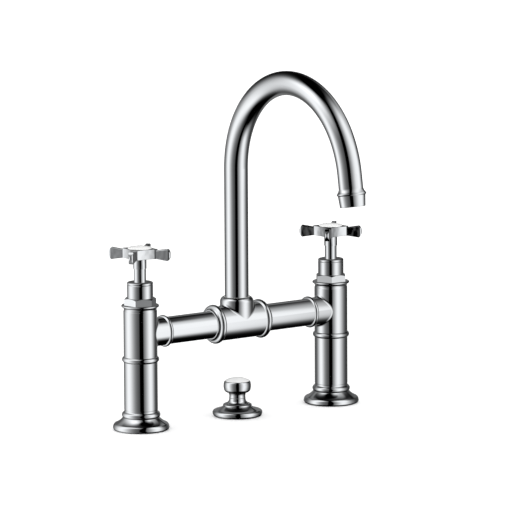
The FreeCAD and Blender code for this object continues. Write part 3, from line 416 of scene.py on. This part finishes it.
def turned(name, outline, ease=EASE):
    """Mesh turned about Z from an outline in millimetres, its inside on the left.

    A point's third number bends the line that leads to it: how far the arc rises, as a
    share of half the distance between its ends.
    """
    rings = []
    for point, heading in eased_outline(outline, ease):
        if rings:
            same_point = (rings[-1][0] - point).length < SAME_POINT
            same_heading = (rings[-1][1] - heading).length < SAME_HEADING
            if same_point and same_heading:
                continue
        rings.append((point, heading))
    verts, normals, ring_starts = [], [], []
    for point, heading in rings:
        ring_starts.append(len(verts))
        if point.x < SAME_POINT:
            verts.append((0, 0, point.y * MM))
            normals.append((0, 0, 1 if heading.x < 0 else -1))
            continue
        for step in range(TURNED_STEPS):
            angle = 2 * math.pi * step / TURNED_STEPS
            across, along = math.cos(angle), math.sin(angle)
            verts.append((point.x * across * MM, point.x * along * MM, point.y * MM))
            normals.append((heading.y * across, heading.y * along, -heading.x))
    faces = []
    for index, (point, heading) in enumerate(rings):
        after = (index + 1) % len(rings)
        next_point = rings[after][0]
        on_axis = point.x < SAME_POINT
        next_on_axis = next_point.x < SAME_POINT
        if (on_axis and next_on_axis) or (next_point - point).length < SAME_POINT:
            continue
        for step in range(TURNED_STEPS):
            next_step = (step + 1) % TURNED_STEPS
            a, b = ring_starts[index] + step, ring_starts[index] + next_step
            c, d = ring_starts[after] + next_step, ring_starts[after] + step
            if on_axis:
                faces.append((ring_starts[index], c, d))
            elif next_on_axis:
                faces.append((a, b, ring_starts[after]))
            else:
                faces.append((a, b, c, d))
    mesh = bpy.data.meshes.new(name)
    mesh.from_pydata(verts, [], faces)
    for face in mesh.polygons:
        face.use_smooth = True
    mesh.normals_split_custom_set_from_vertices(normals)
    return mesh


def fit(name, mesh, material, body, node, place=(0, 0, 0), along_x=0):
    """Stand a mesh in its place, in millimetres, for the CAD node that it replaces, if any."""
    piece = bpy.data.objects.new(name, mesh)
    stance = Matrix.Translation(Vector(place) * MM)
    if along_x:
        stance = stance @ Matrix.Rotation(math.radians(90 * along_x), 4, "Y")
    piece.matrix_world = stance
    scene.collection.objects.link(piece)
    mesh.materials.clear()
    mesh.materials.append(material)
    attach(piece, body)
    if node:
        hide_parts(node)


flange = turned("foot_flange", [
    (FLANGE_HOLE_R, 0),
    (RECESS_IN_R, 0),
    (RECESS_IN_R, RECESS_DEPTH),
    (RECESS_OUT_R, RECESS_DEPTH),
    (RECESS_OUT_R, 0),
    (RIM_FOOT_R, 0),
    (RIM_R, RIM_Z, QUARTER_ROUND),
    (SWEEP_R, SWEEP_Z, QUARTER_ROUND / 2),
    (PILLAR_SEAT_R, FLANGE_TOP, -QUARTER_ROUND / 3),
    (FLANGE_HOLE_R, FLANGE_TOP),
])
for side, pillar_x in PILLAR_X.items():
    fit(side + "_flange_plated", flange, chrome, "body", side + "_foot_flange",
        (pillar_x, 0, 0))


# ---- Deck gaskets and seals ----
# Flat and round rings of black nitrile rubber: under the foot flanges, round
# the cartridges and spindles, in the bridge, the swivel and the nozzle.


def coat(material, *names):
    """Give CAD nodes a finish in place of their plain one."""
    for name in names:
        for material_slot in nodes[name].material_slots:
            material_slot.material = material


rubber = finish("black_rubber", ((0.018, 0.018, 0.019), (0.04, 0.04, 0.042)), blotch=0.002,
                roughness=(0.55, 0.8), gloss_blotch=0.001, grain=0.0006, grain_depth=2e-6)
for side in PILLAR_X:
    coat(rubber, side + "_deck_gasket", side + "_seat_seal", side + "_body_o_ring",
         side + "_spindle_o_rings", side + "_bridge_o_rings")
coat(rubber, "swivel_o_rings", "aerator_seal")


# ---- Shanks, clamp washers and back nuts ----
# Under each pillar a threaded brass shank passes through the deck. A steel
# washer and a brass nut pull the faucet down on it; they are left unplated.

brass = finish("bare_brass", ((0.60, 0.42, 0.17), (0.78, 0.58, 0.27)), blotch=0.01,
               roughness=(0.22, 0.42), gloss_blotch=0.003, grain=0.0008, grain_depth=1.5e-6,
               metallic=1)
steel = finish("brushed_steel", ((0.52, 0.53, 0.54), (0.66, 0.67, 0.68)), blotch=0.008,
               roughness=(0.2, 0.38), gloss_blotch=0.002, grain=0.0005, grain_depth=1e-6,
               metallic=1)
for side in PILLAR_X:
    coat(brass, side + "_shank", side + "_back_nut")
    coat(steel, side + "_clamp_washer")


# ---- Lower pillars ----
# Turned and plated tubes from the foot to the seam under the bridge. A round
# bead and a cove are cut at the foot; the top spigot slides in the valve body.

THREAD_R = 10.5275
THREAD_TOP = 26.65
BEAD_TOP = 14.8
BEAD_SWELL = 0.95
COVE_TOP = 17.4
SEAM_Z = 58.3
PILLAR_SPIGOT_R = 12.0
PILLAR_SPIGOT_TOP = 65.8
SPIGOT_CHAMFER = 0.6
WATERWAY_R = 6.2

lower_pillar = turned("lower_pillar", [
    (THREAD_R, FLANGE_TOP),
    (PILLAR_SEAT_R, FLANGE_TOP),
    (PILLAR_SEAT_R, BEAD_TOP, BEAD_SWELL * 2 / (BEAD_TOP - FLANGE_TOP)),
    (PILLAR_R, COVE_TOP, -QUARTER_ROUND),
    (PILLAR_R, SEAM_Z),
    (PILLAR_SPIGOT_R, SEAM_Z),
    (PILLAR_SPIGOT_R, PILLAR_SPIGOT_TOP - SPIGOT_CHAMFER),
    (PILLAR_SPIGOT_R - SPIGOT_CHAMFER, PILLAR_SPIGOT_TOP),
    (WATERWAY_R, PILLAR_SPIGOT_TOP),
    (WATERWAY_R, THREAD_TOP),
    (THREAD_R, THREAD_TOP),
], ease=0.15)
for side, pillar_x in PILLAR_X.items():
    fit(side + "_pillar_plated", lower_pillar, chrome, "body", side + "_lower_pillar",
        (pillar_x, 0, 0))


# ---- Valve bodies ----
# One cast and turned brass piece a side: the upper pillar with a bead at its
# seam, a flared lip on top and a beaded branch that takes the bridge tube.

coat(chrome, "hot_valve_body", "cold_valve_body")


# ---- Cartridges ----
# A brass barrel holds two lapped alumina discs, one fixed and one turned by
# the spindle. A quarter turn brings their ports in line.

alumina = finish("lapped_alumina", ((0.86, 0.85, 0.82), (0.93, 0.92, 0.90)), blotch=0.003,
                 roughness=(0.18, 0.3), gloss_blotch=0.001, grain=0.0004, grain_depth=0.4e-6)
for side in PILLAR_X:
    coat(brass, side + "_cartridge_body")
    coat(alumina, side + "_fixed_disc", side + "_moving_disc")


# ---- Bonnet nuts ----
# Chrome-plated brass hexagons that screw into the valve bodies and hold the
# cartridges down. Their corners are turned off and their edges are polished soft.

coat(chrome, "hot_bonnet_nut", "cold_bonnet_nut")


# ---- Bonnet sleeves ----
# A smooth turned sleeve covers each nut's spigot. A fine line is cut round it
# below its rounded shoulder.

SLEEVE_BORE_R = 9.65
SLEEVE_R = 11.1
SLEEVE_LOW = 113.6
SLEEVE_TOP = 127.2
SLEEVE_ROOF = 2.8
SHOULDER_R = 1.0
STEM_HOLE_R = 5.5
LINE_DROP = 2.2             # from the top to the middle of the cut line
LINE_DEPTH = 0.35           # half as deep as it is wide

sleeve = turned("bonnet_sleeve", [
    (SLEEVE_BORE_R, SLEEVE_LOW),
    (SLEEVE_R, SLEEVE_LOW),
    (SLEEVE_R, SLEEVE_TOP - LINE_DROP - LINE_DEPTH),
    (SLEEVE_R - LINE_DEPTH, SLEEVE_TOP - LINE_DROP),
    (SLEEVE_R, SLEEVE_TOP - LINE_DROP + LINE_DEPTH),
    (SLEEVE_R, SLEEVE_TOP - SHOULDER_R),
    (SLEEVE_R - SHOULDER_R, SLEEVE_TOP, QUARTER_ROUND),
    (STEM_HOLE_R, SLEEVE_TOP),
    (STEM_HOLE_R, SLEEVE_TOP - SLEEVE_ROOF),
    (SLEEVE_BORE_R, SLEEVE_TOP - SLEEVE_ROOF),
], ease=0.15)
for side, pillar_x in PILLAR_X.items():
    fit(side + "_sleeve_plated", sleeve, chrome, "body", side + "_bonnet_sleeve",
        (pillar_x, 0, 0))


# ---- Spindles and cross handles ----
# A polished stem carries a hub with four flat paddles, taller towards their
# rounded ends. Buffing by hand leaves the cast arms' faces a little wavy. A
# steel screw under the index cap holds the handle on.

hand_buffed = finish("hand_buffed_chrome", CHROME_COLOURS, blotch=0.03, roughness=(0.04, 0.08),
                     gloss_blotch=0.012, grain=0.014, grain_depth=0.9e-3, metallic=1)
for side in PILLAR_X:
    coat(chrome, side + "_spindle")
    coat(hand_buffed, side + "_cross_handle")
    coat(steel, side + "_handle_screw")


# ---- Index caps ----
# Slightly domed discs of white glazed porcelain pressed into the hubs. Their
# faces are plain.

HUB_TOP = 156.0
CAP_SPIGOT_LOW = 152.75
CAP_SPIGOT_IN_R = 5.0
CAP_SPIGOT_OUT_R = 6.0
CAP_R = 10.15
CAP_EDGE_TOP = 156.8
CAP_CROWN = 158.1
CAP_DOME = 0.064

porcelain = finish("white_glazed_porcelain", ((0.86, 0.865, 0.86), (0.93, 0.93, 0.925)),
                   blotch=0.006, roughness=(0.05, 0.12), gloss_blotch=0.003, grain=0.0015,
                   grain_depth=0.6e-6)
index_cap = turned("index_cap", [
    (0, HUB_TOP),
    (CAP_SPIGOT_IN_R, HUB_TOP),
    (CAP_SPIGOT_IN_R, CAP_SPIGOT_LOW),
    (CAP_SPIGOT_OUT_R, CAP_SPIGOT_LOW),
    (CAP_SPIGOT_OUT_R, HUB_TOP),
    (CAP_R, HUB_TOP),
    (CAP_R, CAP_EDGE_TOP, QUARTER_ROUND / 2),
    (0, CAP_CROWN, CAP_DOME),
], ease=0.12)
for side, pillar_x in PILLAR_X.items():
    fit(side + "_cap_glazed", index_cap, porcelain, side + "_handle",
        side + "_index_cap", (pillar_x, 0, 0))


# ---- Bridge tubes and union collars ----
# Two plated tubes join the valve bodies to the tee. A ringed collar nut screws
# over the tee's thread and draws each tube's flange against its face.

BRIDGE_Z = 82.3
COLLAR_BORE_R = 13.65
COLLAR_R = 14.2
COLLAR_BACK = 21.4          # from the middle of the tee outwards
RING_END = 26.8             # the round ring bulges from the back to here
COLLAR_END = 29.0
COLLAR_END_R = 12.7
TUBE_HOLE_R = 11.85
FLANGE_SEAT = 26.35
HALF_ROUND = 1

collar = turned("union_collar", [
    (COLLAR_BORE_R, COLLAR_BACK),
    (COLLAR_R, COLLAR_BACK),
    (COLLAR_R, RING_END, HALF_ROUND),
    (COLLAR_END_R, COLLAR_END, -QUARTER_ROUND / 2),
    (TUBE_HOLE_R, COLLAR_END),
    (TUBE_HOLE_R, FLANGE_SEAT),
    (COLLAR_BORE_R, FLANGE_SEAT),
], ease=0.15)
for side, facing in (("hot", -1), ("cold", 1)):
    coat(chrome, side + "_bridge_tube")
    fit(side + "_collar_plated", collar, chrome, "body", side + "_union_collar",
        (0, 0, BRIDGE_Z), along_x=facing)


# ---- Tee body ----
# The cast brass tee in the middle of the bridge. Its neck takes the spout, and
# a steel grub screw at the back keeps the spout in and stops its swing.

coat(chrome, "tee_body")
coat(steel, "locking_screw")


# ---- Spout ----
# A drawn brass tube bent in one wide arch and plated. A brass swivel is brazed
# in its foot and turns in the tee on a glide ring of pale plastic.

acetal = finish("pale_acetal", ((0.80, 0.80, 0.78), (0.88, 0.88, 0.86)), blotch=0.004,
                roughness=(0.35, 0.5), gloss_blotch=0.002, grain=0.0006, grain_depth=1e-6)
coat(chrome, "spout_tube")
coat(brass, "spout_spigot")
coat(acetal, "glide_ring")


# ---- Nozzle and aerator ----
# A plated ring with a raised bead closes the spout. Inside it, a plastic
# housing and a fine steel screen mix air into the water.

coat(chrome, "nozzle")
coat(acetal, "aerator_housing")
coat(steel, "aerator_screen")


# ---- Basin waste ----
# A turned knob lifts the basin's plug through a rod. It stands on a swept
# rosette; its guide is clamped under the deck. A white button is set in its top.

GUIDE_HOLE_R = 5.05
ROSETTE_RECESS_IN_R = 8.05
ROSETTE_RECESS_OUT_R = 17.3
ROSETTE_RECESS_DEPTH = 3.5
ROSETTE_FOOT_R = 20.3
ROSETTE_R = 21.45
ROSETTE_RIM_Z = 2.3
ROSETTE_SLOPE_R = 20.0
ROSETTE_SLOPE_Z = 5.0
STEP_R = 12.1               # the little step between slope and cone
STEP_LOW = 8.3
STEP_HIGH = 9.9
CONE_FOOT_R = 11.0
CONE_FOOT_Z = 10.5
CONE_TOP_R = 7.1
CONE_TOP_Z = 15.4
ROD_HOLE_R = 2.8
ROSETTE_ROOF_Z = 12.4

rosette = turned("waste_rosette", [
    (GUIDE_HOLE_R, 0),
    (ROSETTE_RECESS_IN_R, 0),
    (ROSETTE_RECESS_IN_R, ROSETTE_RECESS_DEPTH),
    (ROSETTE_RECESS_OUT_R, ROSETTE_RECESS_DEPTH),
    (ROSETTE_RECESS_OUT_R, 0),
    (ROSETTE_FOOT_R, 0),
    (ROSETTE_R, ROSETTE_RIM_Z, QUARTER_ROUND / 2),
    (ROSETTE_SLOPE_R, ROSETTE_SLOPE_Z, QUARTER_ROUND),
    (STEP_R, STEP_LOW, -QUARTER_ROUND / 4),
    (STEP_R, STEP_HIGH, QUARTER_ROUND),
    (CONE_FOOT_R, CONE_FOOT_Z),
    (CONE_TOP_R, CONE_TOP_Z, -QUARTER_ROUND),
    (ROD_HOLE_R, CONE_TOP_Z),
    (ROD_HOLE_R, ROSETTE_ROOF_Z),
    (GUIDE_HOLE_R, ROSETTE_ROOF_Z),
], ease=0.2)
fit("waste_rosette_plated", rosette, chrome, "body", "waste_rosette")

ROD_SOCKET_R = 2.55
ROD_SOCKET_TOP = 24.65
KNOB_FOOT_R = 7.1
KNOB_FOOT_Z = 15.6
KNOB_WAIST_R = 7.9
KNOB_WAIST_Z = 20.3
KNOB_R = 11.65
KNOB_SIDE_LOW = 23.8
KNOB_SIDE_HIGH = 28.4
KNOB_EDGE_R = 10.85
KNOB_EDGE_Z = 30.1
KNOB_TOP_R = 10.3
KNOB_TOP_Z = 30.3

knob = turned("waste_knob", [
    (ROD_SOCKET_R, KNOB_FOOT_Z),
    (KNOB_FOOT_R, KNOB_FOOT_Z),
    (KNOB_WAIST_R, KNOB_WAIST_Z, -QUARTER_ROUND / 2),
    (KNOB_R, KNOB_SIDE_LOW, QUARTER_ROUND),
    (KNOB_R, KNOB_SIDE_HIGH, QUARTER_ROUND / 4),
    (KNOB_EDGE_R, KNOB_EDGE_Z, QUARTER_ROUND / 2),
    (KNOB_TOP_R, KNOB_TOP_Z),
    (0, KNOB_TOP_Z),
    (0, ROD_SOCKET_TOP),
    (ROD_SOCKET_R, ROD_SOCKET_TOP),
], ease=0.2)
fit("waste_knob_plated", knob, chrome, "waste_pull", "waste_knob")

BUTTON_R = 10.35
BUTTON_LOW = 30.2
BUTTON_EDGE = 30.6
BUTTON_CROWN = 33.4
BUTTON_DOME = 0.13

button = turned("waste_button", [
    (0, BUTTON_LOW),
    (BUTTON_R, BUTTON_LOW),
    (BUTTON_R, BUTTON_EDGE, QUARTER_ROUND / 2),
    (0, BUTTON_CROWN, BUTTON_DOME),
], ease=0.15)
fit("waste_button_glazed", button, porcelain, "waste_pull", None)
coat(steel, "waste_pull_rod", "waste_washer")
coat(brass, "waste_guide", "waste_nut")


# ---- What mirrors in what ----
# The photograph shows next to no bent reflections of one piece in another, so
# reflections show the light tent alone.

for piece in scene.objects:
    piece.visible_glossy = piece == tent
